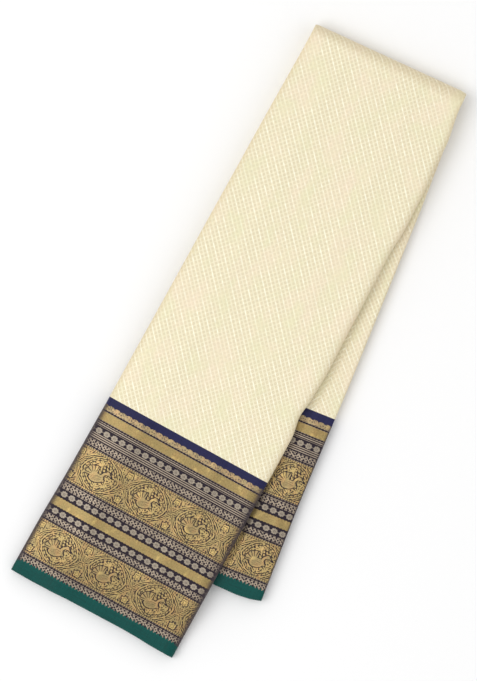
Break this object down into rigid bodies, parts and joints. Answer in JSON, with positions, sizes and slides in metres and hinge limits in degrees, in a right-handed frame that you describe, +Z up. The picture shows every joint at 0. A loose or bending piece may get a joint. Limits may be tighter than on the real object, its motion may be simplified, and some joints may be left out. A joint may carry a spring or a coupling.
{
  "type": "folded silk sari",
  "caption": "Silk sari folded into a long narrow stack and once across, lying flat with its two woven borders fanned at one end.",
  "frame": {"origin": "under the middle of the whole folded sari, on the surface that it lies on", "axes": "+Y along the upper panel towards its crosswise fold, +X to the right seen from above, +Z up"},
  "size_m": [0.2306, 0.6234, 0.0277],
  "materials": {
    "field_silk": "cream silk with a fine diagonal lattice weave",
    "line_silk": "plain navy silk",
    "zari_border": "gold zari brocade on near-black silk",
    "selvedge_silk": "plain bottle-green silk"
  },
  "bodies": {
    "root": {"outer_field": "field_silk", "outer_upper_selvedge": "selvedge_silk", "outer_upper_border": "zari_border", "outer_upper_line": "line_silk", "outer_lower_selvedge": "selvedge_silk", "outer_lower_border": "zari_border", "outer_lower_line": "line_silk", "inner_field": "field_silk", "inner_upper_selvedge": "selvedge_silk", "inner_upper_border": "zari_border", "inner_upper_line": "line_silk", "inner_lower_selvedge": "selvedge_silk", "inner_lower_border": "zari_border", "inner_lower_line": "line_silk", "folded_layers": "field_silk"}
  },
  "joints": []
}
